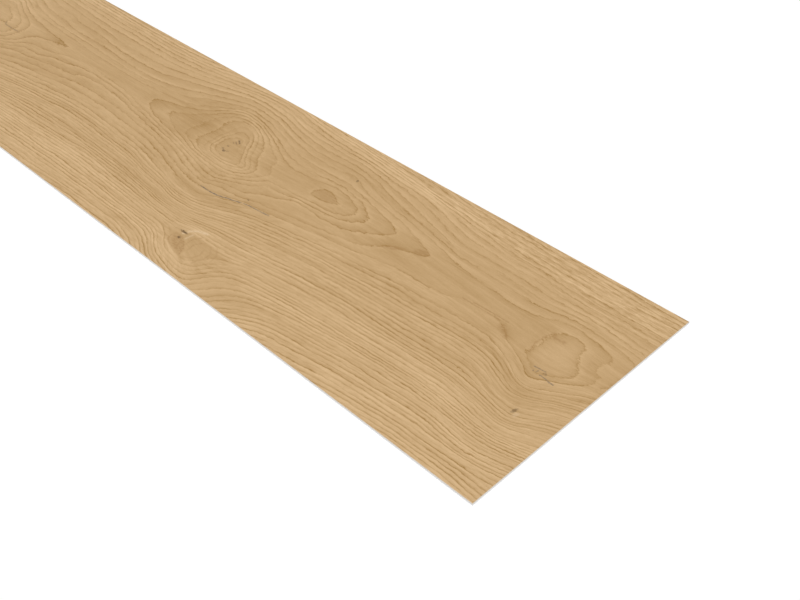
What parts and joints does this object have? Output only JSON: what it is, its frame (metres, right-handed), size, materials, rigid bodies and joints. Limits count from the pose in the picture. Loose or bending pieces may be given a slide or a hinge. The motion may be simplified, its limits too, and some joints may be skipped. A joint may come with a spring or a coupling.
{
  "type": "wide plank floorboard",
  "caption": "Wide, thin glue-down resilient floor plank with a printed oak face, plain back and square sides that butt against the next plank.",
  "frame": {"origin": "centre of the plank's flat back, which is the face that is glued down", "axes": "+X along the length, +Y across the width, +Z out of the worn face"},
  "size_m": [1.2192, 0.2286, 0.002],
  "materials": {
    "oak_vinyl": "matte"
  },
  "bodies": {
    "root": {"floor_plank": "oak_vinyl"}
  },
  "joints": []
}
